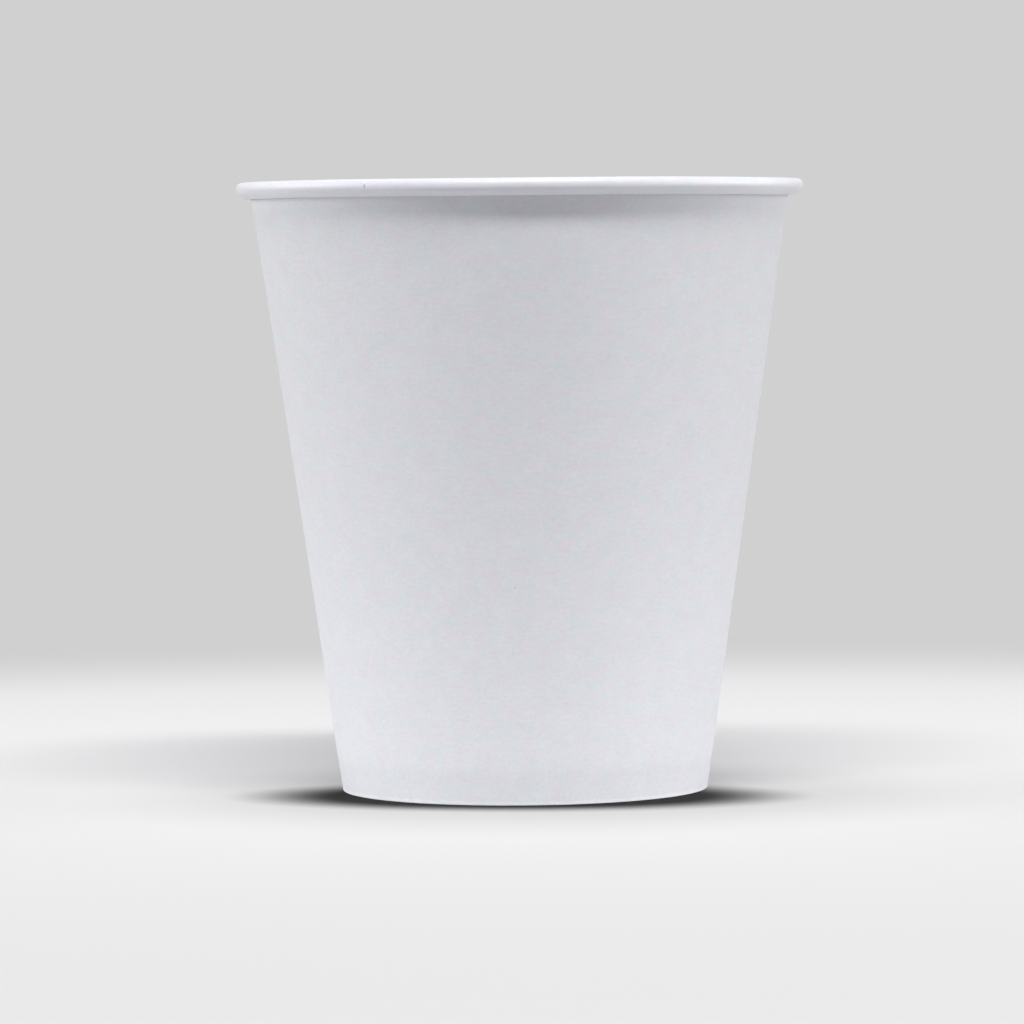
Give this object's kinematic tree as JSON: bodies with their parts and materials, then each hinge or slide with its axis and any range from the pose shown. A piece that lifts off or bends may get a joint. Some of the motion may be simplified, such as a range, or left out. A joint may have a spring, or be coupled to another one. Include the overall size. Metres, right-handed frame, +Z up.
{
  "type": "paper cup",
  "caption": "Tapered single-wall paper drinking cup with an outward curled rim, a lapped side seam and a recessed bottom gripped by a folded hem at the foot.",
  "frame": {"origin": "centre of the foot ring, on the surface that the cup stands on", "axes": "+Z up along the cup's axis, towards the rim; the side seam is up the back, on the +Y side, and the front faces -Y"},
  "size_m": [0.076, 0.076, 0.0815],
  "materials": {
    "cup_board": "smooth uncoated white board outside, thin waterproof film inside",
    "bottom_board": "white board with a thin waterproof film on the drinking side"
  },
  "bodies": {
    "root": {"sidewall": "cup_board", "bottom": "bottom_board"}
  },
  "joints": []
}
